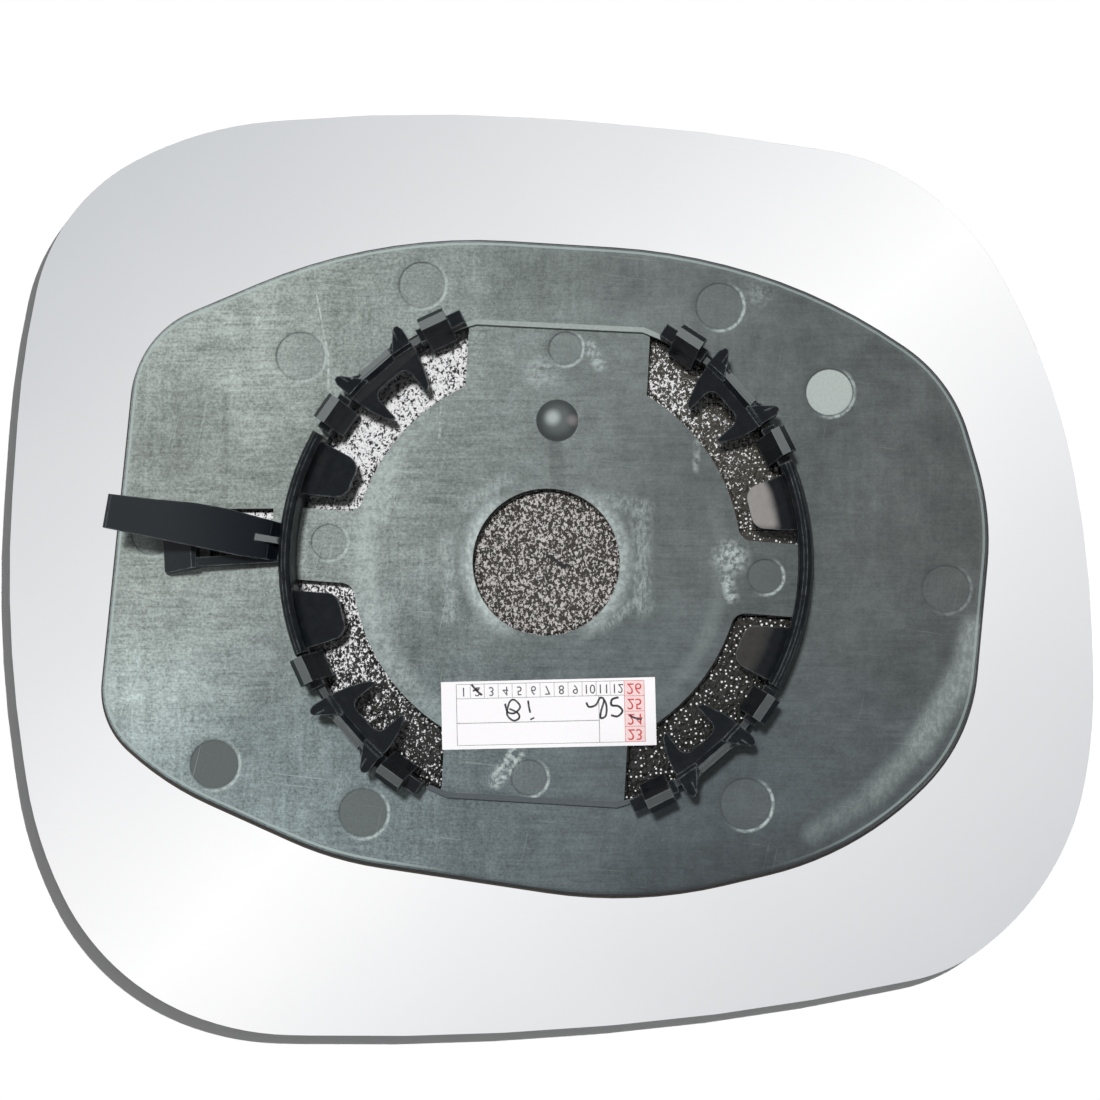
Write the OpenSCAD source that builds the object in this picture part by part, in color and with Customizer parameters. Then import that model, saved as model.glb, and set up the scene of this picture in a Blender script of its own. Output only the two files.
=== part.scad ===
// Car door mirror glass with its clip-on backing plate, seen from the back.
// Millimetres. X right and Y up in the photograph, Z towards the camera. The mirror face is at z = 0.

/* [Glass] */
// Thickness of the mirror glass
glass_t = 2; // [1.6:0.1:3]
// Turn between two points of the glass and plate outlines, in degrees
outline_step = 3; // [1:0.5:5]

/* [Adhesive film] */
// Thickness of the pebbled adhesive sheet
film_t = 0.8; // [0.4:0.1:1.5]
// How far the sheet stands out past the plate
film_over = 0.25; // [0:0.05:1]

/* [Backing plate] */
// Thickness of the plate
plate_t = 2.4; // [1.6:0.1:4]
// Rounding of the plate's upper edge
plate_round = 1.5; // [0.5:0.1:2]
// Steps in the rounding of the plate's upper edge
rim_steps = 5; // [2:1:8]
// Radius of the centre hole
hole_r = 11.8; // [8:0.1:16]
// Turn of the clip ring against the plate, in degrees
ring_turn = -3.3; // [-10:0.1:10]

/* [Windows] */
// Inner radius of the four windows
window_r = 31.2; // [28:0.1:34]
// Distance of the windows from the ring's upright axis
window_u = 14.6; // [10:0.1:20]
// Distance of the windows from the ring's level axis
window_v = 5.8; // [5:0.1:8]
// Rounding of a window's corner beside the side wall
window_corner = 2.4; // [1:0.1:4]

/* [Clip ring] */
// Inner radius of the ring wall
ring_r = 40.2; // [36:0.1:44]
// Height of the ring wall over the plate
ring_h = 7.8; // [5:0.1:12]
// Half of the angle that each side wall covers
wall_half = 25.2; // [18:0.1:26]
// Angle of the snap hooks from a quadrant's diagonal
hook_angle = 15; // [13.5:0.1:16]
// Width of a snap hook
hook_w = 4.4; // [3:0.1:5]
// Height of a snap hook over the plate
hook_h = 8.2; // [6:0.1:12]
// Angle of the claws from a quadrant's diagonal
claw_angle = 6.7; // [6:0.1:7.5]
// Reach of the claws past the ring wall
claw_reach = 3.9; // [2:0.1:5]

/* [Forks and tongues] */
// Reach of a fork's arms, from the ring wall inwards
fork_reach = 7; // [5:0.1:8]
// Width of a fork across its shoulders
fork_w = 12.4; // [11:0.1:13]
// Width of a fork's notch
notch_w = 6.6; // [4:0.1:7.2]
// Radius of the curved inner side of a tongue
tongue_curve = 4.2; // [3:0.1:5]
// Reach of a tongue, from the ring wall inwards
tongue_reach = 6.7; // [5.5:0.1:8]
// Thickness of the forks and tongues
tongue_t = 1.4; // [1:0.1:2]

/* [Arm] */
// Length of the long arm
arm_l = 27.4; // [20:0.1:34]
// Height of the arm's free end over the plate
arm_rise = 11; // [6:0.1:14]
// Direction of the arm, in degrees
arm_turn = 170.5; // [160:0.5:190]

/* [Label] */
// Length of the label
label_l = 34.2; // [20:0.1:50]
// Height of the label
label_w = 10.8; // [6:0.1:16]
// Thickness of the label
label_t = 0.12; // [0.08:0.01:0.3]
// Distance of the label below the centre hole's axis
label_down = 24.2; // [20:0.1:28]

/* [Hidden] */
$fn = 96;
film_z = glass_t;
plate_z = glass_t + film_t;
top_z = plate_z + plate_t;

// Corners of the glass, anticlockwise: x, y and the rounding's length along both sides
glass_corners = [
  [86.5, 1, 13], [81.5, 29.5, 16.5], [69, 54, 9.5], [54.5, 65, 8], [25, 70.5, 20], [-22, 74.3, 21],
  [-57, 71.8, 11.5], [-80.8, 59.8, 15], [-86.2, 34, 11], [-88.7, -10, 21.5], [-83, -44.5, 10],
  [-71, -68, 16.5], [-48.5, -75.5, 7.2], [-14.7, -76, 23.5], [34.7, -71.5, 23], [64.2, -65, 6],
  [82.3, -51, 16.5], [87, -26.3, 8.5]];
// Corners of the backing plate, in the same form
plate_corners = [
  [71, 7.7, 8], [65, 29, 9], [44.4, 43.7, 16], [20, 50.3, 9.3], [-27.4, 53.7, 21.4], [-66.7, 37.4, 9.7],
  [-72.5, -25.4, 6.8], [-61.5, -35.2, 8], [-34.2, -47.3, 7.6], [14.3, -54.4, 14.4],
  [49.6, -46, 15], [67.4, -28, 10.4]];
// Marks of the ejector pins: x, y, diameter and depth
pin_marks = [
  [-39.8, 33.5, 7.8, 0.12], [-20.1, 44.9, 7.4, 0.15], [3.1, 34.4, 5.3, 0.15], [27.8, 41, 7.4, 0.12],
  [45.3, 27, 7.5, 0.2], [-35, 3.4, 5.6, 0.15], [34.9, -2.4, 5.4, 0.15], [63.5, -4.5, 7.4, 0.1],
  [-53.3, -32.3, 7.8, 0.2], [-29.3, -40, 7.7, 0.15], [-2.7, -34.4, 5.6, 0.15], [31.7, -38.5, 8, 0.12],
  [-63.6, 4.9, 7, 0.12]];

// How far the hooks, and the other clips, of each quadrant sit from their mirrored place, in degrees.
// The order is upper right, upper left, lower left, lower right.
hook_shift = [-0.5, 1.8, -2, 0.8];
clip_shift = [-1, 1.1, -0.4, 1.1];
// The same for the right and left side walls
wall_shift = [-0.4, 0.9];
// Further turn of the windows' and tongues' level sides about the ring's axis, in degrees
level_turn = -1.2;
ridge_down = 38;
dome_up = 22.8;

function unit(a) = a / norm(a);
function xy(c, i) = [c[i % len(c)][0], c[i % len(c)][1]];
function side_l(c, i) = norm(xy(c, i + 1) - xy(c, i + len(c)));
// A corner's rounding is cut back where two neighbours would overlap on a side
function fitted(c, i) = let (n = len(c), j = (i + n - 1) % n, k = (i + 1) % n)
  c[i][2] * min(1, (side_l(c, i) - 0.4) / (c[i][2] + c[k][2]), (side_l(c, j) - 0.4) / (c[i][2] + c[j][2]));
// Centre, radius, first angle and sweep of one corner's arc
function arc(c, i) = let (
  n = len(c), p = xy(c, i), a = unit(xy(c, i + n - 1) - p), b = unit(xy(c, i + 1) - p),
  inner = acos(a * b), t = fitted(c, i), first = atan2(a[0], -a[1]))
  [p + unit(a + b) * t / cos(inner / 2), t * tan(inner / 2), first, 180 - inner];
function arc_point(q, angle, depth) = q[0] + (q[1] - depth) * [cos(angle), sin(angle)];

// Points along a rounded outline, at a depth inside it
function outline(corners, depth) = [for (i = [0:len(corners) - 1]) let (
  q = arc(corners, i), steps = max(2, ceil(q[3] / outline_step)))
  for (k = [0:steps]) arc_point(q, q[2] + q[3] * k / steps, depth)];

// A band along an outline with its upper edge rounded over, as wide as the rounding
module rounded_rim(corners, z0, z1, round) {
  profile = concat([[round, z0], [0, z0]],
    [for (k = [0:rim_steps]) round * [1 - cos(90 * k / rim_steps), 0] + [0, z1 - round * (1 - sin(90 * k / rim_steps))]]);
  m = len(profile);
  n = len(outline(corners, 0));
  polyhedron(
    points = [for (q = profile) let (ring = outline(corners, q[0])) for (v = ring) [v[0], v[1], q[1]]],
    faces = [for (j = [0:m - 1], i = [0:n - 1]) let (a = j * n, b = ((j + 1) % m) * n, k = (i + 1) % n)
      [a + i, b + i, b + k, a + k]]);
}

// A piece of the clip ring, turned about its axis from one angle to another. children() is in radius and height.
module sector(from, to) {
  rotate([0, 0, from]) rotate_extrude(angle = to - from) children();
}

// One profile in radius and height, drawn straight across a direction from the ring's axis
module straight(angle, width) {
  rotate([0, 0, angle]) translate([0, width / 2, 0]) rotate([90, 0, 0]) linear_extrude(width) children();
}

module mirror_glass() {
  color("#c9ced2") linear_extrude(glass_t) polygon(outline(glass_corners, 0));
}

module adhesive_film() {
  color("#2b2822") translate([-0.1, -0.25, film_z]) linear_extrude(film_t)
    polygon(outline(plate_corners, -film_over));
}

// Mirrors the upper right quadrant's shapes into quadrant q, which counts anticlockwise from 0
module in_quadrant(q) {
  mirror([q == 1 || q == 2 ? 1 : 0, 0, 0]) mirror([0, q >= 2 ? 1 : 0, 0]) children();
}

module level_side(q) {
  rotate([0, 0, q % 2 == 0 ? level_turn : -level_turn]) children();
}

// The rounded corner that the plate keeps in a window, between the window's inner arc and its level side
module window_fillet() {
  reach = window_r + window_corner - 0.05;
  v = window_v + window_corner;
  u = sqrt(reach * reach - v * v);
  inner = [u, v] * window_r / reach;
  difference() {
    polygon([[inner[0] - 1.6, window_v - 1], [u, window_v - 1], [u, v], inner, inner - [1, 0.4]]);
    translate([u, v]) circle(window_corner);
  }
}

// Cuts through the plate: the centre hole, four windows and the slot beside the arm's root
module plate_cuts() {
  translate([0, 0, plate_z - 1]) {
    cylinder(r = hole_r, h = plate_t + 2);
    for (q = [0:3]) in_quadrant(q) linear_extrude(plate_t + 2) difference() {
      intersection() {
        circle(ring_r + 0.3);
        translate([window_u, 0]) square(60);
        level_side(q) translate([-5, window_v]) square(70);
      }
      circle(window_r);
      level_side(q) window_fillet();
    }
  }
}

module slot_cut() {
  translate([-54.2, 0.6, plate_z - 1]) cube([10.2, 8.2, plate_t + 2]);
}

// Straight raised edge that closes the ring at its top or bottom, between two windows
module ridge(v) {
  half = window_u - 1;
  translate([-half, v - 0.4, top_z - 0.5]) cube([2 * half, 0.8, 1.3]);
  for (m = [0, 1]) mirror([m, 0, 0]) translate([half - 0.1, v, top_z - 0.5]) rotate([0, 0, -sign(v) * 20])
    translate([-0.2, -0.4, 0]) cube([3.6, 0.8, 1.3]);
}

// A side wall of the ring, with a drafted outer face and a broken upper edge
module side_wall(shift) {
  sector(shift - wall_half, shift + wall_half)
    polygon([[ring_r, plate_z + 0.6], [42.7, plate_z + 0.6], [42.7, top_z + 0.3], [42.1, top_z + ring_h - 1],
      [41.5, top_z + ring_h], [40.9, top_z + ring_h], [ring_r, top_z + ring_h - 0.8]]);
}

// A tongue: it curves from the wall's top down to a level end. Its lower side is level, its upper one radial.
module tongue(q) {
  top = top_z + ring_h - 0.8;
  mid = ring_r + 0.4 - tongue_curve;
  end = ring_r - tongue_reach;
  last = wall_half - 1.3 + clip_shift[q];
  intersection() {
    sector(2, last + 1) {
      intersection() {
        translate([mid, top]) difference() {
          circle(tongue_curve + tongue_t);
          circle(tongue_curve);
        }
        translate([mid, top - tongue_curve - tongue_t]) square([tongue_curve + tongue_t, tongue_curve + tongue_t]);
      }
      translate([end - 1, top - tongue_curve - tongue_t]) square([mid - end + 1.01, tongue_t]);
    }
    translate([0, 0, top_z - 3]) linear_extrude(20) offset(r = 2.3) offset(delta = -2.3) difference() {
      level_side(q) translate([0, window_v + 1.9]) square(60);
      circle(end);
      rotate([0, 0, last]) square(80);
    }
  }
}

module scale_y(s) {
  if (s < 0) mirror([0, 1, 0]) children();
  else children();
}

// A fork: a straight ramp from the wall's top, with two tapered arms and a rounded notch between them
module fork() {
  tip = ring_r - fork_reach;
  half = fork_w / 2;
  notch = notch_w / 2;
  z = top_z;
  difference() {
    intersection() {
      translate([0, 10, 0]) rotate([90, 0, 0]) linear_extrude(20)
        polygon([[tip - 0.2, z + 1.1], [tip + 0.6, z + 0.9], [36.5, z + 2.1], [39, z + 3.3], [40.6, z + 4.3], [41.2, z + 4.9],
          [41.2, z + 6.6], [40.5, z + 6.6], [39.7, z + 5.5], [38.4, z + 4.7], [36, z + 3.5], [34.4, z + 2.8], [tip - 0.2, z + 2.3]]);
      linear_extrude(20) polygon([[42, -half], [42, half], [38.6, half], [36.6, half - 0.6], [tip + 1.4, half - 1.5],
        [tip + 0.4, half - 2], [tip, half - 2.6], [tip, 2.6 - half], [tip + 0.4, 2 - half], [tip + 1.4, 1.5 - half],
        [36.6, 0.6 - half], [38.6, -half]]);
    }
    linear_extrude(20) {
      polygon([[30, -notch + 0.2], [36.6, -notch], [36.6, notch], [30, notch - 0.2]]);
      translate([36, -notch + 1.4]) square([2, notch_w - 2.8]);
      for (s = [-1, 1]) translate([36.55, s * (notch - 1.43)]) circle(1.42);
    }
  }
  // Wall behind the fork, straight across
  translate([ring_r + 0.1, 0.2 - half, plate_z + 0.8]) cube([1.5, fork_w - 0.4, plate_t + 5]);
  translate([ring_r + 0.6, -2.9, top_z + 4]) cube([0.9, 5.8, 2.8]);
}

// The low wall that joins the hooks and claws of one quadrant
module quadrant_wall(shift) {
  sector(45 + shift - hook_angle - 4.4, 45 + shift + hook_angle + 4.6)
    polygon([[ring_r + 0.15, plate_z + 0.7], [41.9, plate_z + 0.7], [41.9, top_z + 2.6], [41.4, top_z + 3.4],
      [ring_r + 0.15, top_z + 3.4]]);
}

// A snap hook: a leaning stem with a flat top and a barb that looks outwards
module hook(angle, outer_post) {
  straight(angle, hook_w) polygon([[38.5, plate_z + 1], [41.5, plate_z + 1], [41.7, top_z + hook_h - 4],
    [43.3, top_z + hook_h - 3.1], [43.3, top_z + hook_h - 2], [42.4, top_z + hook_h], [41, top_z + hook_h],
    [39.7, top_z + 4.4], [38.5, top_z + 1.2]]);
  // Posts beside the hook
  edge = hook_w / 2 - 0.3;
  rotate([0, 0, angle]) {
    translate([39.9, edge, plate_z + 1.5]) cube([2.2, outer_post + 0.3, plate_t + 3.1]);
    translate([39.9, -edge - 1.3, plate_z + 1.5]) cube([2.2, 1.3, plate_t + 3.1]);
  }
}

// An outward claw on its pedestal: a horn that leans away from the fork, with a trough along its top
module claw(angle, side) {
  tip = ring_r + claw_reach;
  rotate([0, 0, angle]) scale_y(side) {
    translate([0, 0, top_z + 0.5]) linear_extrude(5.8)
      polygon([[39.8, -1.9], [41.3, -2.1], [42.2, -1], [42.5, 0.5], [42.1, 1.7], [39.8, 1.8]]);
    difference() {
      translate([0, 0, top_z + 2.6]) linear_extrude(5)
        polygon([[40.4, -1.7], [42, -0.8], [43, -0.1], [tip - 0.3, 0.4], [tip, 0.9], [tip - 0.1, 1.4],
          [tip - 1, 1.8], [40.4, 1.7]]);
      translate([40.2, -3, top_z + 7.4]) rotate([0, 14, 0]) cube([9, 6, 4]);
      translate([ring_r + 1.6, -3, top_z - 0.4]) rotate([0, -30, 0]) cube([9, 6, 3.6]);
      translate([42, 0.2, top_z + 6.9]) rotate([0, 14, 9]) rotate([45, 0, 0]) cube([3, 1.1, 1.1]);
    }
  }
}

module quadrant(q) {
  quadrant_wall(hook_shift[q]);
  tongue(q);
  rotate([0, 0, 45 + clip_shift[q]]) fork();
  for (s = [-1, 1]) claw(45 + clip_shift[q] + s * claw_angle, s);
  hook(45 + hook_shift[q] + hook_angle, 2.4);
  mirror_turn(45 + hook_shift[q] - hook_angle) hook(0, 1);
}

// Turns a mirrored copy to an angle
module mirror_turn(angle) {
  rotate([0, 0, angle]) mirror([0, 1, 0]) children();
}

// The long arm: it climbs steeply beside the wall and then runs out past the plate's left edge
module arm() {
  translate([-42, 3.2, top_z]) rotate([0, 0, arm_turn - 180]) mirror([1, 0, 0]) {
    intersection() {
      translate([0, 5, 0]) rotate([90, 0, 0]) linear_extrude(10)
        polygon([[-0.4, -0.8], [-0.4, 0.6], [0.4, 2.4], [2, 3.9], [4.6, 5], [12, 7.1], [20, 9.3],
          [arm_l - 0.5, arm_rise], [arm_l, arm_rise - 0.3], [arm_l - 0.3, arm_rise - 1.6], [20, 7.7],
          [12, 5.4], [5.6, 3.5], [4, 2.4], [3.4, 0.8], [3.2, -0.8]]);
      translate([0, 0, -2]) linear_extrude(16)
        polygon([[-1, -3.1], [6, -3.4], [arm_l + 1, -2.65], [arm_l + 1, 2.65], [20, 3.15], [14, 3.7], [9, 3.7],
          [5, 3.3], [-1, 2.8]]);
    }
    // Gusset between the arm's root and the wall
    translate([-1.2, -0.5, -0.5]) cube([5.4, 1, 5.5]);
  }
}

// The short leaf under the arm, with an upturned end
module leaf() {
  translate([-42.4, 1.1, top_z]) rotate([0, 0, 3]) mirror([1, 0, 0]) {
    translate([0, 0.4, 0]) rotate([90, 0, 0]) linear_extrude(1.5)
      polygon([[-0.4, -0.6], [-0.4, 2.4], [14, 3.2], [14, -0.6]]);
    intersection() {
      translate([0, 6, 0]) rotate([90, 0, 0]) linear_extrude(8)
        polygon([[13.5, -0.6], [13.5, 3.6], [14.2, 4], [19, 1.6], [19.4, -0.6]]);
      translate([13, 0, -2]) linear_extrude(9)
        polygon([[-1, -1.1], [0, -1.2], [5.5, -1.8], [6.2, -1.5], [6.6, -0.6], [6.7, 1], [6.5, 5], [-1, 5]]);
    }
  }
}

module backing_plate() {
  color("#4a4f50") {
    difference() {
      union() {
        rounded_rim(plate_corners, plate_z, top_z, plate_round);
        translate([0, 0, plate_z]) linear_extrude(plate_t) polygon(outline(plate_corners, plate_round));
      }
      rotate([0, 0, ring_turn]) plate_cuts();
      slot_cut();
      for (p = pin_marks) translate([p[0], p[1], top_z - p[3]]) cylinder(d = p[2], h = 3);
    }
    rotate([0, 0, ring_turn]) {
      for (m = [0, 1]) mirror([m, 0, 0]) side_wall(wall_shift[m]);
      for (q = [0:3]) in_quadrant(q) quadrant(q);
      for (m = [0, 1]) mirror([0, m, 0]) ridge(ridge_down);
      // Dome over the gate
      translate([0.5, dome_up, top_z]) rotate_extrude() intersection() {
        translate([0, -2.6]) circle(4.2);
        translate([0, -0.4]) square([6, 3]);
      }
    }
    arm();
    leaf();
  }
}

module date_label() {
  color("#f2f0ec") translate([0.4, -label_down, top_z]) rotate([0, 0, 1.3])
    translate([-label_l / 2, -label_w / 2, 0]) cube([label_l, label_w, label_t]);
}

mirror_glass();
adhesive_film();
backing_plate();
date_label();
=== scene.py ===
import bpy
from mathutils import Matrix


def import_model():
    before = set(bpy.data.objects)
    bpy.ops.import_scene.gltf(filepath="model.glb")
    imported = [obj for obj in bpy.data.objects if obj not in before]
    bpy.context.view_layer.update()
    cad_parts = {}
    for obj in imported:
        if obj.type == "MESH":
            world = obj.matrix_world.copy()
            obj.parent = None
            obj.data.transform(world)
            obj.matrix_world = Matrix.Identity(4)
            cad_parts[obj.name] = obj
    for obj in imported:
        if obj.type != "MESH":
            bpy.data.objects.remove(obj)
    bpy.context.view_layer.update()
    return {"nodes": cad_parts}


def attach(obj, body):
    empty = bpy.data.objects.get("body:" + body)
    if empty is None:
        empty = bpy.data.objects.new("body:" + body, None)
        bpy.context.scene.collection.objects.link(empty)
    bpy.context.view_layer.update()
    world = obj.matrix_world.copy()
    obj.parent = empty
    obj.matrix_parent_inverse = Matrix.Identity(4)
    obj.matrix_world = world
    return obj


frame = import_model()

import math
import random

import bpy
from mathutils import Matrix, Vector, noise

# Lengths below are in millimetres unless a name says otherwise, and MM turns them into metres
MM = 0.001
FILM_TOP = 2.8
PLATE_TOP = 5.2
LABEL_TOP = 5.32
RING_TURN = math.radians(-3.3)
HOLE_R = 11.8
WINDOW_IN, WINDOW_OUT = 31.2, 40.5
WINDOW_U, WINDOW_V = 14.6, 5.8
LEVEL_TURN = math.radians(-1.2)
SLOT = (-54.2, 0.6, -44.0, 8.8)
LABEL_CENTRE, LABEL_TURN = (0.4, -24.2), math.radians(1.3)
DOME_AT = (0.5, 22.8, 0)
DOT_SPACING = 0.8

# Marks of the ejector pins: x, y and diameter
PIN_MARKS = [
    (-39.8, 33.5, 7.8), (-20.1, 44.9, 7.4), (3.1, 34.4, 5.3), (27.8, 41, 7.4), (45.3, 27, 7.5),
    (-35, 3.4, 5.6),
    (34.9, -2.4, 5.4), (63.5, -4.5, 7.4), (-53.3, -32.3, 7.8), (-29.3, -40, 7.7), (-2.7, -34.4, 5.6),
    (31.7, -38.5, 8), (-63.6, 4.9, 7)]

# The photograph's camera
CAMERA_AT = Vector((28, -28, 455.2))
CAMERA_AIM = Vector((0.64, 1.92, 5.2))
CAMERA_LENS = 92.42

nodes = frame["nodes"]


# Helpers for node materials
class Shader:
    def __init__(self, name):
        self.material = bpy.data.materials.new(name)
        self.material.use_nodes = True
        self.tree = self.material.node_tree
        self.tree.nodes.clear()

    def add(self, kind, inputs=None, **settings):
        made = self.tree.nodes.new(kind)
        for key, value in settings.items():
            setattr(made, key, value)
        for key, value in (inputs or {}).items():
            self.put(made.inputs[key], value)
        return made

    def put(self, socket, value):
        if isinstance(value, bpy.types.NodeSocket):
            self.tree.links.new(value, socket)
        else:
            socket.default_value = value

    def math(self, operation, a, b=0.0, c=0.0, clamp=False):
        made = self.add("ShaderNodeMath", {0: a, 1: b, 2: c}, operation=operation, use_clamp=clamp)
        return made.outputs[0]

    def vector(self, operation, a, b=None):
        made = self.add("ShaderNodeVectorMath", {0: a}, operation=operation)
        if b is not None:
            self.put(made.inputs[1], b)
        return made.outputs["Value" if operation in ("LENGTH", "DOT_PRODUCT", "DISTANCE") else "Vector"]

    # Position on the object in millimetres
    def place(self):
        coords = self.add("ShaderNodeTexCoord").outputs["Object"]
        return self.vector("MULTIPLY", coords, (1 / MM, 1 / MM, 1 / MM))

    def scaled(self, coords, factors):
        return self.vector("MULTIPLY", coords, factors)

    def turned(self, coords, angle):
        made = self.add("ShaderNodeVectorRotate", {"Vector": coords, "Angle": angle}, rotation_type="Z_AXIS")
        return made.outputs[0]

    def xyz(self, coords):
        return self.add("ShaderNodeSeparateXYZ", {0: coords}).outputs

    def noise(self, coords, size, detail=3.0, rough=0.55, distort=0.0):
        made = self.add("ShaderNodeTexNoise", {
            "Vector": coords, "Scale": 1 / size, "Detail": detail, "Roughness": rough, "Distortion": distort})
        return made.outputs[0]

    # A value taken from one range to another, with soft ends
    def span(self, value, low, high, to_low=0.0, to_high=1.0, kind="SMOOTHSTEP"):
        made = self.add("ShaderNodeMapRange", {
            0: value, 1: low, 2: high, 3: to_low, 4: to_high}, interpolation_type=kind)
        return made.outputs[0]

    def ramp(self, value, stops, mode="LINEAR"):
        made = self.add("ShaderNodeValToRGB", {0: value})
        ramp = made.color_ramp
        ramp.interpolation = mode
        for _ in range(len(stops) - 2):
            ramp.elements.new(0.5)
        for element, (at, colour) in zip(ramp.elements, stops):
            element.position = at
            element.color = (*colour, 1)
        return made.outputs[0]

    def mix(self, factor, a, b, blend="MIX"):
        made = self.add("ShaderNodeMix", data_type="RGBA", blend_type=blend)
        for socket, value in ((made.inputs[0], factor), (made.inputs[6], a), (made.inputs[7], b)):
            if isinstance(value, tuple) and len(value) == 3:
                value = (*value, 1)
            self.put(socket, value)
        return made.outputs[2]

    def times(self, *values):
        out = values[0]
        for value in values[1:]:
            out = self.math("MULTIPLY", out, value)
        return out

    def most(self, *values):
        out = values[0]
        for value in values[1:]:
            out = self.math("MAXIMUM", out, value)
        return out

    # 1 inside a round spot that fades out over its rim, on coordinates with no height
    def spot(self, flat, centre, radius, fade):
        away = self.vector("DISTANCE", flat, (*centre, 0))
        return self.span(away, radius + fade, radius)

    # 1 on a straight mark between two points
    def mark(self, flat, start, end, width, fade):
        middle = ((start[0] + end[0]) / 2, (start[1] + end[1]) / 2, 0)
        angle = math.atan2(end[1] - start[1], end[0] - start[0])
        half = math.hypot(end[0] - start[0], end[1] - start[1]) / 2
        along, side = self.xyz(self.turned(self.vector("SUBTRACT", flat, middle), -angle))[0:2]
        past = self.math("MAXIMUM", self.math("SUBTRACT", self.math("ABSOLUTE", along), half), 0.0)
        squares = self.math("ADD", self.math("MULTIPLY", past, past), self.math("MULTIPLY", side, side))
        away = self.math("SQRT", squares)
        return self.span(away, width / 2 + fade, width / 2)

    def bump(self, height, strength, distance):
        made = self.add("ShaderNodeBump", {"Strength": strength, "Distance": distance * MM, "Height": height})
        return made.outputs[0]

    def finish(self, shader):
        self.add("ShaderNodeOutputMaterial", {0: shader})
        return self.material

    def principled(self, **inputs):
        sockets = {key.replace("_", " "): value for key, value in inputs.items()}
        return self.finish(self.add("ShaderNodeBsdfPrincipled", sockets).outputs[0])


# Materials
# Worn and scuffed places on the plate's face, each brighter than the bare plastic, and a painted highlight
# band inside the rim at the lower right, as one mask
def plate_scuffs_and_rim_highlight(s, flat, radius, wear):
    x, y = s.xyz(flat)[0:2]
    smear = s.span(s.noise(s.scaled(flat, (1.5, 0.7, 1)), 1.0, 5, 0.75), 0.36, 0.68)
    hug = s.times(s.span(radius, 14.8, 12.1), s.span(radius, 11.6, 12.0))
    at_left = s.times(hug, s.span(x, -3, -10), s.span(y, 13, 8))
    at_right = s.times(hug, s.span(x, 4, 9), s.span(wear, 0, 1, 0.5, 1))
    left_low = s.times(s.mark(flat, (-16.0, 3.5), (-15.4, -8.5), 0.6, 1.8), smear, 0.6)
    left_high = s.times(s.mark(flat, (-12.5, 9.0), (-6.5, 13.2), 0.6, 1.8), smear, 0.5)
    right_high = s.times(s.mark(flat, (9.5, 9.8), (15.8, 8.6), 1.2, 1.6), smear, 0.4)
    right_band = s.times(s.mark(flat, (15.0, 8.0), (15.4, -7.0), 0.8, 2.2), smear, 0.5)
    below = s.times(s.mark(flat, (9.0, -10.5), (15.0, -6.0), 0.5, 1.2), smear, 0.5)
    crumbs = s.times(s.spot(flat, (29.4, 0.6), 0.6, 3.4), wear, 0.85)
    crumbs = s.most(crumbs, s.times(s.mark(flat, (28.8, -3.0), (29.6, -5.6), 0.5, 1.4), wear, 0.8))
    streak = s.times(s.mark(flat, (-7.9, -34.8), (-4.6, -30.4), 1.1, 1.3), wear, 0.9)
    blotch = s.times(s.spot(flat, (-0.8, 30.6), 1.0, 3.0), wear, 0.42)
    blotch = s.most(blotch, s.times(s.mark(flat, (7.0, 34.6), (8.6, 31.8), 0.8, 1.2), wear, 0.6))
    beside = s.times(s.spot(flat, (34.2, 43.2), 0.5, 3.0), wear, 0.3)
    band = s.times(s.span(s.math("ABSOLUTE", s.math("SUBTRACT", radius, 29.4)), 3.2, 0.4),
                   s.span(x, -10, -28), s.span(wear, 0, 1, 0.15, 0.5))
    ring = s.times(s.span(s.math("ABSOLUTE", s.math("SUBTRACT", radius, 28.2)), 2.0, 0.2), s.span(x, 14, 26),
                   s.span(y, 14, -4), 0.10)
    # Painted highlight: a soft pale band inside the rim at the lower right
    rim = s.most(s.mark(flat, (67.8, -10.6), (66.0, -18.2), 0.8, 2.6),
                 s.mark(flat, (66.0, -18.2), (59.0, -29.4), 1.0, 3.0),
                 s.times(s.mark(flat, (59.0, -29.4), (51.8, -37.0), 0.6, 2.8), 0.7),
                 s.times(s.mark(flat, (51.8, -37.0), (42.4, -43.0), 0.4, 2.6), 0.45))
    rim = s.times(rim, s.span(smear, 0, 1, 0.22, 0.42))
    nicks = s.most(s.times(s.mark(flat, (-25.6, 13.5), (-25.9, 7.0), 0.7, 0.8), wear, 0.6),
                   s.times(s.mark(flat, (-16.9, 25.0), (-17.2, 20.2), 0.1, 0.3), wear, 0.6),
                   s.times(s.mark(flat, (24.2, 19.0), (24.0, 14.8), 0.3, 0.7), wear, 0.4))
    return s.most(s.times(at_left, s.span(smear, 0, 1, 0.45, 1.0)), s.times(at_right, 0.7), left_low,
                  left_high, right_high, right_band, below, crumbs, streak, blotch, beside, band, ring, rim,
                  nicks)


def plate_scratches(s, flat):
    gaps = s.span(s.noise(flat, 0.9, 3, 0.6), 0.42, 0.6, 0.15, 1.0)
    cut = s.times(s.most(
        s.mark(flat, (-37.2, 43.6), (-36.2, 38.4), 0.05, 0.2),
        s.mark(flat, (-36.2, 38.4), (-35.2, 33.4), 0.08, 0.22),
        s.mark(flat, (-35.2, 33.4), (-35.2, 28.2), 0.1, 0.22)), gaps)
    fine = s.noise(s.scaled(s.turned(flat, 0.12), (0.07, 2.6, 1)), 1.0, 2, 0.5)
    cross = s.noise(s.scaled(s.turned(flat, -1.35), (0.06, 2.2, 1)), 1.0, 2, 0.5)
    hair = s.most(s.span(fine, 0.66, 0.76), s.times(s.span(cross, 0.66, 0.77), 0.8))
    return cut, hair
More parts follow.
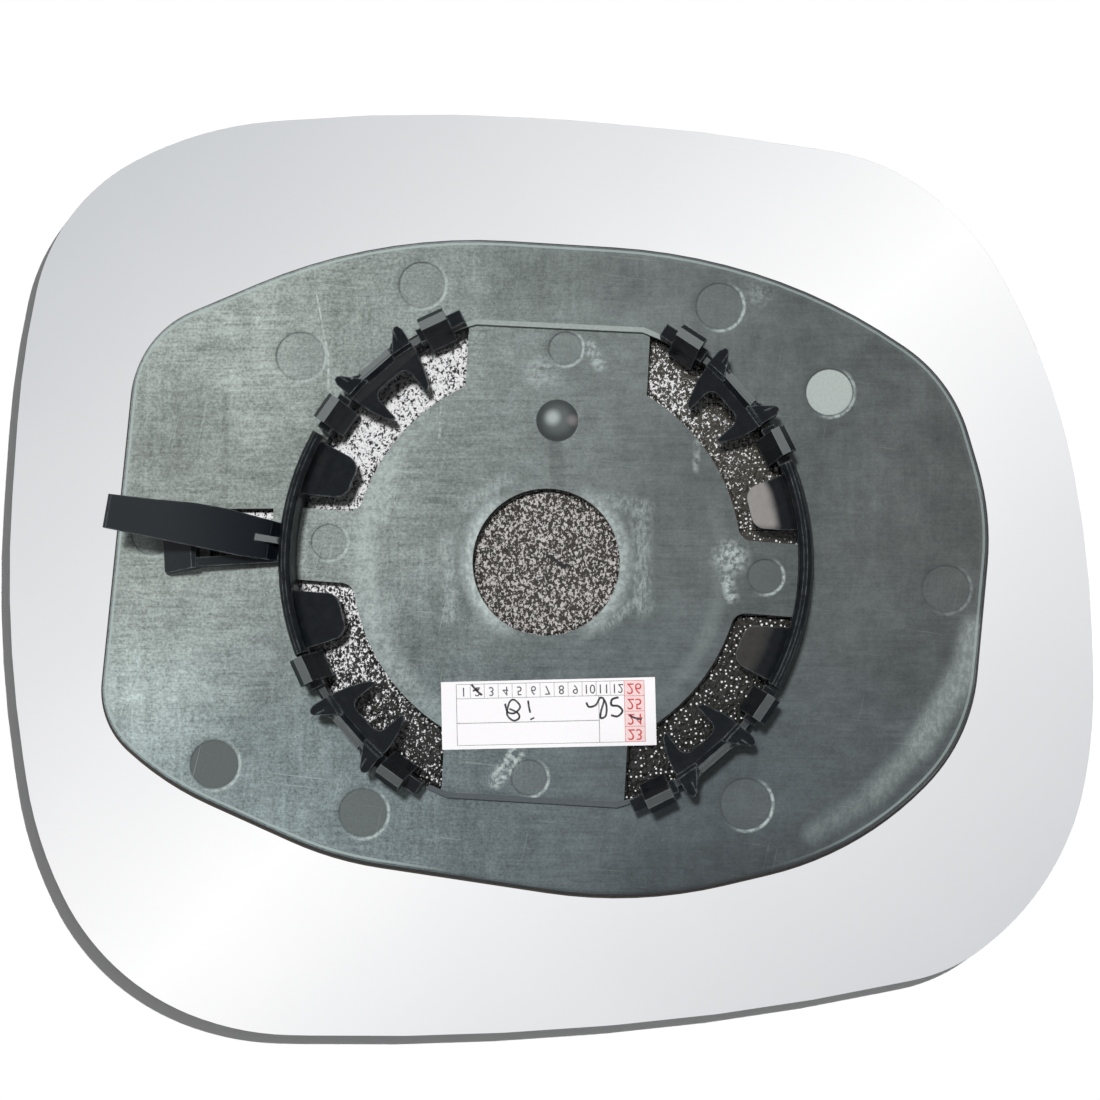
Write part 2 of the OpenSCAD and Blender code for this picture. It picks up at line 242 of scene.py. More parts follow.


# Rings left by the ejector pins: a dark groove, painted darker as shade on its upper left side with a broad
# painted shade just outside it there, and a painted highlight on the rim at its lower right
def pin_rings(s, flat):
    groove_and_shade, pin_rim_highlight, faces, shade = 0.0, 0.0, 0.0, 0.0
    for px, py, size in PIN_MARKS:
        arm = s.vector("SUBTRACT", flat, (px, py, 0))
        away = s.vector("LENGTH", arm)
        off = s.math("ABSOLUTE", s.math("SUBTRACT", away, size / 2))
        upper = s.math("DIVIDE", s.vector("DOT_PRODUCT", arm, (-0.86, 0.51, 0)), size / 2)
        groove_and_shade = s.most(groove_and_shade, s.times(s.span(off, 0.26, 0.05), s.span(upper, -1.0, 0.6, 0.25, 1.0)))
        broad = s.span(s.math("SUBTRACT", away, size / 2), 1.3, 0.0)
        shade = s.most(shade, s.times(broad, s.span(away, size / 2 - 0.1, size / 2), s.span(upper, 0.2, 1.0)))
        outer = s.span(s.math("ABSOLUTE", s.math("SUBTRACT", away, size / 2 + 0.3)), 0.42, 0.05)
        side = s.math("DIVIDE", s.vector("DOT_PRODUCT", arm, (0.86, -0.51, 0)), size / 2)
        pin_rim_highlight = s.most(pin_rim_highlight, s.times(outer, s.span(side, -0.3, 0.9)))
        faces = s.most(faces, s.span(away, size / 2, size / 2 - 0.15))
    return groove_and_shade, pin_rim_highlight, faces, shade


# Broad lighter and darker fields of the face's painted sheen, as one factor
def plate_tones(s, x, y, flat):
    def field(centre, radius, fade, factor):
        return s.span(s.spot(flat, centre, radius, fade), 0, 1, 1.0, factor)

    top = s.math("ADD", 1.0, s.times(s.span(y, 36, 48), s.span(x, -44, 0, 0.0, -0.24)))
    foot = s.math("ADD", 1.0, s.times(s.span(y, -38, -50), s.span(x, 0, 20, 0.0, -0.22)))
    return s.times(top, foot, field((-58, 21), 4, 9, 0.82), field((-49, 36), 4, 10, 1.15),
                   field((-62, -24), 5, 11, 1.26), field((-24, -2), 3, 8, 1.16), field((-22, -16), 3, 8, 0.9))


def plate_face(s, p, x, y, flat, radius, grain, brushed):
    # Painted sheen of the moulded face: bright and greenish at the left, darker and neutral at the right
    slant = s.math("ADD", s.math("MULTIPLY", x, 1 / 130), s.math("MULTIPLY_ADD", y, -0.35 / 130, 60 / 130))
    base = s.ramp(slant, [(0.0, (0.300, 0.338, 0.316)), (0.3, (0.235, 0.271, 0.260)),
                          (0.55, (0.138, 0.157, 0.156)), (0.75, (0.098, 0.110, 0.110)),
                          (1.0, (0.086, 0.094, 0.092))])
    low = s.times(s.span(y, -50, 0, 0.84, 1.0), s.span(radius, 36, 20, 1.0, 0.88),
                  plate_tones(s, x, y, flat))
    cloud = s.noise(p, 16, 4, 0.6)
    patch = s.noise(p, 3.2, 5, 0.68)
    left = s.span(x, 35, -40)
    where = s.noise(p, 24, 2)
    shade = s.times(low, s.span(cloud, 0.3, 0.7, 0.86, 1.14), s.span(patch, 0.25, 0.75, 0.8, 1.2, "LINEAR"))
    level = s.times(s.span(brushed, 0.25, 0.75, -1, 1, "LINEAR"), s.span(where, 0.42, 0.58, 0.1, 1.0))
    upright = s.noise(s.scaled(p, (1.0, 0.07, 1)), 1.1, 4, 0.6)
    upright = s.times(s.span(upright, 0.25, 0.75, -1, 1, "LINEAR"), s.span(where, 0.56, 0.42, 0.05, 0.8))
    grained = s.times(s.span(grain, 0.25, 0.75, -1, 1, "LINEAR"), s.span(left, 0, 1, 0.22, 0.58))
    hairline = s.span(s.noise(s.scaled(p, (0.22, 3.4, 1)), 1.0, 3, 0.6), 0.25, 0.75, -0.16, 0.16, "LINEAR")
    combed = s.math("ADD", s.times(s.math("ADD", level, upright), 0.26), hairline)
    combed = s.times(combed, s.span(left, 0, 1, 0.55, 1.0))
    lines = s.math("ADD", combed, grained)
    shade = s.times(shade, s.math("ADD", 1.0, lines))

    # Dark line of the flow under the dome, and a fainter one at the left
    flow = s.most(s.mark(flat, (1.6, 18.5), (1.8, 12.2), 1.0, 1.3),
                  s.times(s.mark(flat, (-51.9, 27), (-52.1, 11), 0.4, 0.8), 0.7))
    shade = s.times(shade, s.span(flow, 0, 1, 1.0, 0.78))
    face = s.mix(1.0, base, shade, "MULTIPLY")
    # The lower half is a little bluer
    face = s.mix(1.0, face, s.mix(s.span(y, 5, -40), (1, 1, 1), (0.94, 1.0, 1.07)), "MULTIPLY")

    groove_and_shade, pin_rim_highlight, faces, shadow = pin_rings(s, flat)
    face = s.mix(s.times(shadow, 0.3), face, (0.05, 0.058, 0.058))
    calm = s.mix(s.span(left, 0, 1, 0.2, 0.5), base, (0.17, 0.195, 0.195))
    calm = s.mix(1.0, calm, s.math("ADD", 1.0, s.times(grained, 0.6)), "MULTIPLY")
    face = s.mix(s.times(faces, 0.35), face, calm)
    pale_disc = s.spot(flat, (45.3, 27), 3.6, 0.15)
    face = s.mix(pale_disc, face, s.mix(grain, (0.30, 0.345, 0.33), (0.52, 0.56, 0.54)))
    dark_disc = s.most(s.spot(flat, (-53.3, -32.3), 3.75, 0.15),
                       s.times(s.spot(flat, (-29.3, -40), 3.7, 0.15), 0.85),
                       s.times(s.spot(flat, (34.9, -2.4), 2.55, 0.15), 0.55))
    face = s.mix(dark_disc, face, s.mix(grain, (0.085, 0.098, 0.098), (0.135, 0.15, 0.15)))
    wear = s.span(s.noise(p, 0.9, 4, 0.7), 0.38, 0.62)
    pale = s.mix(grain, (0.40, 0.47, 0.455), (0.60, 0.68, 0.66))
    face = s.mix(plate_scuffs_and_rim_highlight(s, flat, radius, wear), face, pale)
    cut, hair = plate_scratches(s, flat)
    scratched = s.most(s.times(cut, 0.7), s.times(hair, s.span(left, 0, 1, 0.08, 0.26)))
    face = s.mix(scratched, face, (0.62, 0.68, 0.64))
    # Painted highlight on the pin rings' rims at the lower right
    face = s.mix(s.times(pin_rim_highlight, s.span(wear, 0, 1, 0.3, 0.8), s.span(x, 45, 58, 1.0, 0.3)), face, pale)
    # Dark pin grooves, painted darker as shade on their upper left sides
    face = s.mix(s.times(groove_and_shade, s.span(wear, 0, 1, 0.55, 0.3)), face, (0.05, 0.058, 0.058))
    return face


# The domed gate mark: painted shade at its foot, a painted bright highlight and a faint painted pink
# reflection
def dome_colour(s, local, grain):
    away = s.vector("DISTANCE", local, DOME_AT)
    round_shade = s.mix(s.span(away, 1.2, 3.3), (0.105, 0.120, 0.120), (0.045, 0.052, 0.054))
    painted_dome_highlight = s.mix(s.spot(local, (-0.2, 23.1), 0.3, 1.5), round_shade, (0.40, 0.45, 0.44))
    painted_pink_reflection = s.spot(local, (3.0, 22.9), 0.2, 1.1)
    tint = s.mix(s.times(painted_pink_reflection, 0.8), painted_dome_highlight, (0.26, 0.235, 0.235))
    return s.mix(s.times(grain, 0.2), tint, (0.2, 0.22, 0.22))


# Painted highlights along thin edges: where a rounded normal leaves the face's own
def painted_edge_highlights(s):
    rounded = s.add("ShaderNodeBevel", {"Radius": 0.28 * MM}, samples=3).outputs[0]
    own = s.add("ShaderNodeNewGeometry").outputs["Normal"]
    return s.span(s.vector("DOT_PRODUCT", rounded, own), 0.985, 0.92)


def plate_material():
    s = Shader("moulded_plate")
    p = s.place()
    x, y, z = s.xyz(p)[0:3]
    flat = s.scaled(p, (1, 1, 0))
    radius = s.vector("LENGTH", flat)
    up = s.xyz(s.add("ShaderNodeTexCoord").outputs["Normal"])[2]
    grain = s.noise(p, 0.42, 4, 0.75)
    brushed = s.noise(s.scaled(p, (0.09, 1.2, 1)), 0.9, 4, 0.65)
    face = plate_face(s, p, x, y, flat, radius, grain, brushed)

    # Painted highlight along the rounded rim's crest; the rim stays dark where it turns down
    painted_crest_highlight = s.times(s.span(up, 0.995, 0.95), s.span(up, 0.72, 0.88))
    at_bottom = s.times(s.span(y, -40, -50), s.span(x, -30, -10))
    painted_crest_highlight = s.times(painted_crest_highlight, s.span(x, 60, -40, 0.42, 0.8), s.math("SUBTRACT", 1.0, at_bottom))
    face = s.mix(painted_crest_highlight, face, (0.42, 0.50, 0.49))
    dark = (0.0042, 0.0058, 0.0082)
    turned_down = s.span(up, 0.80, 0.45)
    face = s.mix(turned_down, face, (0.012, 0.014, 0.015))

    # Clips, walls and arm show the bare dark plastic
    near = s.times(s.math("LESS_THAN", radius, 47.5), s.span(up, 0.995, 0.972))
    local = s.turned(flat, -RING_TURN)
    u, v = s.xyz(local)[0:2]
    au, av = s.math("ABSOLUTE", u), s.math("ABSOLUTE", v)
    ridge = s.times(s.math("LESS_THAN", au, 17.4), s.math("GREATER_THAN", av, 35.5),
                    s.math("LESS_THAN", z, PLATE_TOP + 0.95))
    dome = s.math("LESS_THAN", s.vector("DISTANCE", local, DOME_AT), 3.4)
    own = s.math("SUBTRACT", 1.0, s.most(ridge, dome))
    on_ridge = s.times(ridge, s.math("GREATER_THAN", z, PLATE_TOP + 0.15))
    # The upper ridge is painted pale as a highlight, the lower one dark as painted shade
    upper = s.mix(grain, (0.20, 0.235, 0.225), (0.44, 0.49, 0.47))
    lower = s.mix(grain, (0.06, 0.07, 0.08), (0.11, 0.125, 0.135))
    face = s.mix(s.times(on_ridge, s.span(v, -1, 1)), face, upper)
    face = s.mix(s.times(on_ridge, s.span(v, 1, -1)), face, lower)
    face = s.mix(dome, face, dome_colour(s, local, grain))
    raised = s.times(s.math("GREATER_THAN", z, PLATE_TOP + 0.25), own)
    clip = s.most(raised, s.times(near, own))
    smudge = s.noise(p, 1.6, 4, 0.65)
    body = s.mix(s.span(smudge, 0.4, 0.75), dark, (0.010, 0.012, 0.014))
    # Painted sheen on flat tops: the low wall and the hooks' tops are painted grey, brighter towards +y, the
    # side walls stay dark
    level_top = s.times(s.span(up, 0.93, 0.99), raised)
    low_wall = s.times(s.math("LESS_THAN", z, PLATE_TOP + 3.7), s.math("GREATER_THAN", radius, 39.7),
                       s.math("GREATER_THAN", av, 15.5))
    hook_tops = s.times(s.math("GREATER_THAN", z, 13.25), s.math("GREATER_THAN", radius, 39.7))
    strip = s.times(s.math("LESS_THAN", s.math("ABSOLUTE", s.math("SUBTRACT", z, PLATE_TOP + 6.8)), 0.2),
                    s.math("GREATER_THAN", radius, 40.2),
                    s.math("LESS_THAN", s.math("ABSOLUTE", s.math("SUBTRACT", au, av)), 5.2))
    lit = s.span(s.math("ADD", s.math("MULTIPLY", x, -0.3), y), -45, 45, 0.4, 1.0)
    painted_top_sheen = s.times(level_top, s.most(hook_tops, strip, s.times(low_wall, 0.7)), lit)
    grey = s.mix(grain, (0.12, 0.135, 0.138), (0.19, 0.205, 0.205))
    body = s.mix(painted_top_sheen, body, grey)
    # Painted reflection: the tongue at the upper right is pale pinkish grey at its end
    painted_tongue_reflection = s.times(raised, s.math("GREATER_THAN", u, 30), s.span(radius, 38.3, 36.4), s.span(v, 6, 8),
                    s.span(up, 0.9, 0.98), s.span(v, 17.5, 14))
    body = s.mix(painted_tongue_reflection, body, s.mix(smudge, (0.20, 0.19, 0.185), (0.34, 0.325, 0.31)))
    # Painted reflection: the tongue at the lower right is a little lighter at its end
    painted_lower_tongue_reflection = s.times(raised, s.math("GREATER_THAN", u, 29), s.span(radius, 39.5, 35.5), s.span(v, -5, -8),
                        s.span(up, 0.9, 0.98), s.span(v, -21, -15))
    body = s.mix(s.times(painted_lower_tongue_reflection, 0.8), body, s.mix(smudge, (0.035, 0.034, 0.033), (0.065, 0.062, 0.058)))
    arm = s.times(raised, s.math("LESS_THAN", x, -43.2))
    out = s.span(x, -44, -62)
    body = s.mix(arm, body, s.mix(out, (0.004, 0.006, 0.009), (0.021, 0.025, 0.028)))
    gusset = s.times(s.math("LESS_THAN", s.math("ABSOLUTE", s.math("SUBTRACT", z, 10.2)), 0.08),
                     s.span(x, -42.3, -42.8), s.math("GREATER_THAN", x, -47),
                     s.math("LESS_THAN", s.math("ABSOLUTE", s.math("SUBTRACT", y, 3.6)), 1.4),
                     s.math("GREATER_THAN", up, 0.98))
    body = s.mix(gusset, body, (0.15, 0.16, 0.16))
    # Painted highlight along the clips' edges, patchy with the smudge
    body = s.mix(s.times(painted_edge_highlights(s), s.span(smudge, 0.35, 0.65, 0.2, 1.0)), body, (0.17, 0.19, 0.195))
    colour = s.mix(clip, face, body)

    rough = s.span(grain, 0.2, 0.8, 0.34, 0.54)
    rough = s.mix(clip, rough, s.span(smudge, 0.3, 0.7, 0.26, 0.42))
    fine = s.math("ADD", s.math("MULTIPLY", grain, 0.6), s.math("MULTIPLY", brushed, 0.4))
    return s.principled(Base_Color=colour, Roughness=rough, Normal=s.bump(fine, 0.3, 0.05),
                        Specular_IOR_Level=0.13)


def mirror_material():
    s = Shader("silvered_glass")
    p = s.place()
    up = s.xyz(s.add("ShaderNodeTexCoord").outputs["Normal"])[2]
    flat = s.span(s.math("ABSOLUTE", up), 0.9, 0.99)
    haze = s.noise(p, 40, 2)
    silver = s.mix(s.span(haze, 0.3, 0.7), (0.80, 0.815, 0.83), (0.82, 0.832, 0.845))
    ground = s.mix(s.noise(p, 0.4, 3), (0.22, 0.235, 0.24), (0.34, 0.355, 0.36))
    colour = s.mix(flat, ground, silver)
    rough = s.span(flat, 0, 1, 0.45, 0.02, "LINEAR")
    return s.principled(Base_Color=colour, Metallic=flat, Roughness=rough)


# How thick the painted white glints lie: nearly closed at the upper left, single dots at the lower right
def glint_share(s, x, y, radius):
    slant = s.math("SUBTRACT", s.math("MULTIPLY", y, 0.9), x)
    share = s.span(slant, -52, 46, 0.06, 0.98, "LINEAR")
    below = s.span(y, -10, -36, 1.0, 0.85)
    outward = s.mix(s.span(y, 5, 15), s.span(radius, 32, 38, 1.0, 0.45),
                    s.span(radius, 33, 39, 1.15, 0.8))
    outward = s.mix(s.span(x, 5, 14), (1, 1, 1), outward)
    share = s.times(share, below, outward)
    hole = s.math("LESS_THAN", radius, HOLE_R + 0.3)
    return s.mix(hole, share, (0.70, 0.70, 0.70)), hole


def film_material():
    s = Shader("pebbled_film")
    p = s.place()
    x, y, z = s.xyz(p)[0:3]
    flat = s.scaled(p, (1, 1, 0))
    radius = s.vector("LENGTH", flat)
    share, hole = glint_share(s, x, y, radius)
    olive = s.times(s.span(x, 8, 20), s.span(y, -30, 22))
    base = s.mix(s.noise(p, 3, 4), (0.004, 0.005, 0.005), (0.016, 0.015, 0.013))
    base = s.mix(olive, base, s.mix(s.noise(p, 1.2, 4), (0.030, 0.029, 0.022), (0.065, 0.060, 0.048)))
    base = s.mix(hole, base, s.mix(s.noise(p, 0.8, 4), (0.012, 0.011, 0.009), (0.045, 0.037, 0.029)))
    # Painted glints: jagged crumbs where they lie thick, round dots where they lie thin
    spots = s.noise(s.scaled(p, (1, 0.8, 1)), 0.40, 3, 0.65, 0.3)
    crumbs = s.span(s.math("SUBTRACT", spots, s.span(share, 0, 1, 0.72, 0.43, "LINEAR")), 0.0, 0.03)
    cells = s.add("ShaderNodeTexVoronoi", {"Vector": flat, "Scale": 1 / DOT_SPACING, "Randomness": 1.0},
                  voronoi_dimensions="2D")
    pick = s.xyz(cells.outputs["Color"])[0]
    size = s.span(pick, 0.12, 1.0, 0.0, 0.22, "LINEAR")
    dots = s.span(s.math("SUBTRACT", cells.outputs["Distance"], size), 0.03, -0.01)
    dots = s.times(dots, s.span(share, 0.55, 0.3))
    inside = s.math("LESS_THAN", radius, 41)
    slot = s.times(s.math("LESS_THAN", s.math("ABSOLUTE", s.math("ADD", x, 49.1)), 5.3), s.span(y, 4.8, 6.0),
                   s.math("LESS_THAN", y, 9.1))
    open_film = s.times(s.most(inside, slot), s.span(z, FILM_TOP - 0.05, FILM_TOP))
    glint = s.times(s.most(crumbs, dots), open_film)
    tone = s.noise(p, 0.5, 2)
    bright = s.mix(tone, (0.88, 0.88, 0.89), (0.98, 0.98, 0.99))
    dull = s.mix(s.noise(p, 0.3, 2), (0.34, 0.32, 0.30), (0.86, 0.83, 0.82))
    white = s.mix(hole, bright, dull)
    # Painted glints in white over the dark base
    colour = s.mix(glint, base, white)
    # A small torn dent in the middle of the centre hole
    stray = s.add("ShaderNodeTexNoise", {"Vector": flat, "Scale": 1.4}).outputs["Color"]
    ragged = s.vector("ADD", flat, s.scaled(stray, (1.3, 1.3, 0)))
    dent = s.most(s.mark(ragged, (1.0, 1.7), (3.6, 0.0), 0.45, 0.25),
                  s.mark(ragged, (3.4, 0.2), (4.6, 0.0), 0.25, 0.25))
    colour = s.mix(dent, colour, (0.006, 0.006, 0.006))
    edge = s.math("GREATER_THAN", radius, 44)
    brown = s.mix(tone, (0.020, 0.017, 0.013), (0.05, 0.042, 0.032))
    colour = s.mix(s.times(edge, s.math("SUBTRACT", 1.0, slot)), colour, brown)
    bump = s.bump(spots, 0.6, 0.2)
    return s.principled(Base_Color=colour, Roughness=0.28, Normal=bump)


def label_material():
    s = Shader("label_paper")
    p = s.place()
    fibre = s.noise(p, 0.6, 3)
    colour = s.mix(fibre, (0.90, 0.885, 0.90), (0.94, 0.925, 0.94))
    return s.principled(Base_Color=colour, Roughness=0.6, Normal=s.bump(fibre, 0.15, 0.02))


def ink_material(name, first, second, roughness=0.6):
    s = Shader(name)
    colour = s.mix(s.span(s.noise(s.place(), 0.35, 2), 0.3, 0.7), first, second)
    return s.principled(Base_Color=colour, Roughness=roughness)


def floor_material():
    s = Shader("pale_floor")
    p = s.place()
    colour = s.mix(s.noise(p, 300, 2), (0.90, 0.90, 0.905), (0.915, 0.915, 0.92))
    return s.principled(Base_Color=colour, Roughness=0.9, Specular_IOR_Level=0.0)


def mesh_object(name, verts, faces, material, smooth=False):
    mesh = bpy.data.meshes.new(name)
    mesh.from_pydata([tuple(c * MM for c in v) for v in verts], [], faces)
    mesh.materials.append(material)
    if smooth:
        mesh.shade_smooth()
    mesh.update()
    made = bpy.data.objects.new(name, mesh)
    bpy.context.scene.collection.objects.link(made)
    return made


# CAD nodes: materials and softened edges
def dress(node, material):
    made = nodes[node]
    made.data.materials.clear()
    made.data.materials.append(material)
    return made


def soften(made, width, segments=2, angle=35):
    weld = made.modifiers.new("join_faces", "WELD")
    weld.merge_threshold = 0.002 * MM
    bevel = made.modifiers.new("soft_edges", "BEVEL")
    bevel.width = width * MM
    bevel.segments = segments
    bevel.limit_method = "ANGLE"
    bevel.angle_limit = math.radians(angle)
    bevel.use_clamp_overlap = True
    bevel.harden_normals = True


# Embossed skin of the adhesive sheet, where the plate leaves it open; PEBBLE is its mesh step
PEBBLE = 0.3


def in_window(x, y):
    u = abs(x * math.cos(RING_TURN) + y * math.sin(RING_TURN))
    v = abs(-x * math.sin(RING_TURN) + y * math.cos(RING_TURN))
    turn = LEVEL_TURN if x * y > 0 else -LEVEL_TURN
    above = v * math.cos(turn) - u * math.sin(turn)
    return WINDOW_IN < math.hypot(u, v) < WINDOW_OUT and u > WINDOW_U and above > WINDOW_V


def in_hole(x, y):
    return math.hypot(x, y) < HOLE_R


def in_slot(x, y):
    return SLOT[0] < x < SLOT[2] and SLOT[1] < y < SLOT[3]


def pebbled_skin(name, inside, box, material):
    rng = random.Random(name)
    columns = int((box[2] - box[0]) / PEBBLE)
    rows = int((box[3] - box[1]) / PEBBLE)

    def corner(i, j):
        return box[0] + i * PEBBLE, box[1] + j * PEBBLE

    cells = [(i, j) for i in range(columns) for j in range(rows)
             if all(inside(*corner(i + a, j + b)) for a in (0, 1) for b in (0, 1))]
    kept = set(cells)
    index, top, base = {}, [], []
    for i, j in cells:
        for a, b in ((0, 0), (1, 0), (1, 1), (0, 1)):
            key = (i + a, j + b)
            if key in index:
                continue
            index[key] = len(top)
            rim = any((key[0] - c, key[1] - d) not in kept for c in (0, 1) for d in (0, 1))
            x, y = corner(*key)
            dx, dy = (rng.uniform(-0.09, 0.09) for _ in range(2))
            if rim:
                top.append((x, y, FILM_TOP + 0.01))
            else:
                swell = noise.noise(Vector((x, y, 3.7)) / 0.55) * 0.16
                top.append((x + dx, y + dy, FILM_TOP + 0.2 + swell + rng.uniform(-0.06, 0.06)))
            base.append((x, y, FILM_TOP - 0.1))
    count = len(top)
    faces, walls = [], []
    for i, j in cells:
        a, b, c, d = (index[i, j], index[i + 1, j], index[i + 1, j + 1], index[i, j + 1])
        faces.append((a, b, c, d))
        faces.append((d + count, c + count, b + count, a + count))
        for near, far, step in ((a, b, (0, -1)), (b, c, (1, 0)), (c, d, (0, 1)), (d, a, (-1, 0))):
            if (i + step[0], j + step[1]) not in kept:
                walls.append((far, near, near + count, far + count))
    made = mesh_object(name, top + base, faces + walls, material)
    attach(made, "root")
    return made


# Print on the label: thin closed shapes in the label's own directions u and v
def on_label(u, v):
    c, s = math.cos(LABEL_TURN), math.sin(LABEL_TURN)
    return LABEL_CENTRE[0] + u * c - v * s, LABEL_CENTRE[1] + u * s + v * c


class Print:
    def __init__(self, name, material, thick):
        self.name, self.material, self.thick = name, material, thick
        self.verts, self.faces = [], []

    # A flat convex patch from corners given anticlockwise
    def patch(self, corners):
        n, start = len(corners), len(self.verts)
        for lift in (self.thick, 0.0):
            for u, v in corners:
                self.verts.append((*on_label(u, v), LABEL_TOP + lift))
        self.faces.append(tuple(range(start, start + n)))
        self.faces.append(tuple(range(start + 2 * n - 1, start + n - 1, -1)))
        for i in range(n):
            j = (i + 1) % n
            self.faces.append((start + j, start + i, start + n + i, start + n + j))

    def line(self, u0, v0, u1, v1, width):
        length = math.hypot(u1 - u0, v1 - v0)
        du, dv = (v0 - v1) / length * width / 2, (u1 - u0) / length * width / 2
        self.patch([(u0 - du, v0 - dv), (u1 - du, v1 - dv), (u1 + du, v1 + dv), (u0 + du, v0 + dv)])

    # A pen stroke through a few points, of one width, its pieces overlapping a little
    def stroke(self, points, width):
        fine = smooth_path(points, 8)
        for (u0, v0), (u1, v1) in zip(fine, fine[1:]):
            over = 0.12 * width / max(math.hypot(u1 - u0, v1 - v0), 1e-6)
            self.line(u0 - (u1 - u0) * over, v0 - (v1 - v0) * over,
                      u1 + (u1 - u0) * over, v1 + (v1 - v0) * over, width)

    # Number printed upside down and mirrored, as the photograph shows it
    def number(self, text, u, v, height, squeeze=1.0):
        curve = bpy.data.curves.new("number", "FONT")
        curve.body = text
        curve.size = height / 0.7
        curve.align_x = "CENTER"
        curve.align_y = "CENTER"
        curve.resolution_u = 3
        made = bpy.data.objects.new("number", curve)
        bpy.context.scene.collection.objects.link(made)
        bpy.context.view_layer.update()
        mesh = made.evaluated_get(bpy.context.evaluated_depsgraph_get()).to_mesh()
        start = len(self.verts)
        for vertex in mesh.vertices:
            at = on_label(u + vertex.co.x * squeeze, v - vertex.co.y)
            self.verts.append((*at, LABEL_TOP + self.thick))
        for face in mesh.polygons:
            self.faces.append(tuple(start + k for k in reversed(face.vertices)))
        bpy.data.objects.remove(made)
        bpy.data.curves.remove(curve)

    def build(self):
        made = mesh_object(self.name, self.verts, self.faces, self.material)
        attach(made, "root")
        return made


def smooth_path(points, steps):
    ends = [points[0]] + list(points) + [points[-1]]
    out = []
    for a, b, c, d in zip(ends, ends[1:], ends[2:], ends[3:]):
        for k in range(steps):
            t = k / steps
            out.append(tuple(0.5 * (2 * b[i] + (c[i] - a[i]) * t
                                    + (2 * a[i] - 5 * b[i] + 4 * c[i] - d[i]) * t * t
                                    + (3 * b[i] - a[i] - 3 * c[i] + d[i]) * t ** 3) for i in (0, 1)))
    out.append(points[-1])
    return out


GRID_LEFT, GRID_RIGHT, YEARS_RIGHT = -14.66, 12.17, 15.35
GRID_TOP, ROW_BOTTOM, MIDDLE, GRID_BOTTOM = 4.94, 2.66, -1.26, -4.78
CELL = (GRID_RIGHT - GRID_LEFT) / 12
SIDE_CELL = 8.08


def label_print():
    pink = Print("label_year_fill", ink_material("rose_print", (0.86, 0.62, 0.62), (0.88, 0.70, 0.69)), 0.006)
    pink.patch([(GRID_RIGHT, GRID_BOTTOM), (YEARS_RIGHT, GRID_BOTTOM),
                (YEARS_RIGHT, GRID_TOP), (GRID_RIGHT, GRID_TOP)])
    pink.build()
    lines = Print("label_grid", ink_material("grey_print", (0.20, 0.21, 0.20), (0.36, 0.37, 0.36)), 0.010)
    for v in (GRID_TOP, ROW_BOTTOM, GRID_BOTTOM):
        lines.line(GRID_LEFT, v, GRID_RIGHT, v, 0.09)
    lines.line(GRID_LEFT, MIDDLE, SIDE_CELL, MIDDLE, 0.12)
    lines.line(SIDE_CELL, ROW_BOTTOM, SIDE_CELL, GRID_BOTTOM, 0.11)
    lines.line(GRID_LEFT, GRID_BOTTOM, GRID_LEFT, GRID_TOP, 0.11)
    for k in range(1, 12):
        u = GRID_LEFT + k * CELL
        lines.line(u, ROW_BOTTOM, u, GRID_TOP, 0.08)
    lines.build()
    black = ink_material("black_print", (0.03, 0.03, 0.03), (0.10, 0.10, 0.095))
    months = Print("label_months", black, 0.012)
    for k in range(12):
        months.number(str(k + 1), GRID_LEFT + (k + 0.52) * CELL, (GRID_TOP + ROW_BOTTOM) / 2, 1.45, 0.95)
    months.build()
    years = Print("label_years", ink_material("red_print", (0.48, 0.02, 0.03), (0.62, 0.10, 0.10)), 0.012)
    rows = 4
    step = (GRID_TOP - GRID_BOTTOM) / rows
    for k in range(rows):
        years.number(str(26 - k), (GRID_RIGHT + YEARS_RIGHT) / 2, GRID_TOP - (k + 0.5) * step, 1.75, 1.0)
    for k in range(rows + 1):
        v = GRID_TOP - k * step
        years.line(GRID_RIGHT, v, YEARS_RIGHT, v, 0.07)
    for u in (GRID_RIGHT, YEARS_RIGHT):
        years.line(u, GRID_BOTTOM, u, GRID_TOP, 0.07)
    years.build()
    pen = Print("label_pen_marks", ink_material("pen_ink", (0.05, 0.05, 0.055), (0.16, 0.16, 0.17)), 0.015)
    pen.stroke([(-6.9, 1.7), (-6.5, 0.4), (-5.4, 0.2), (-4.5, 1.2), (-5.4, 2.3), (-6.2, 1.9), (-6.6, 0.0),
                (-5.6, -1.0), (-4.7, -0.6), (-4.9, 0.2), (-6.2, 0.9)], 0.3)
    pen.stroke([(-3.2, 2.1), (-3.1, 1.2), (-2.9, 0.2)], 0.3)
    pen.stroke([(-2.9, -0.9), (-2.3, -0.6)], 0.25)
    pen.stroke([(-12.2, 4.9), (-11.4, 3.9), (-10.6, 3.2)], 0.34)
    pen.stroke([(-12.0, 3.9), (-11.0, 4.1)], 0.26)
    pen.stroke([(6.1, 1.6), (6.5, 0.9), (7.6, 1.2), (8.3, 2.3), (8.9, 1.9), (8.4, 0.2), (8.3, -0.9),
                (9.1, -0.6), (9.3, 0.8), (9.0, 1.9)], 0.32)
    pen.stroke([(11.2, 2.3), (10.2, 2.0), (10.1, 1.1), (11.2, 0.9), (11.8, 0.1), (11.0, -0.7),
                (10.0, -0.5)], 0.34)
    pen.stroke([(12.9, -0.6), (13.7, -1.0), (14.8, -1.3)], 0.3)
    pen.build()


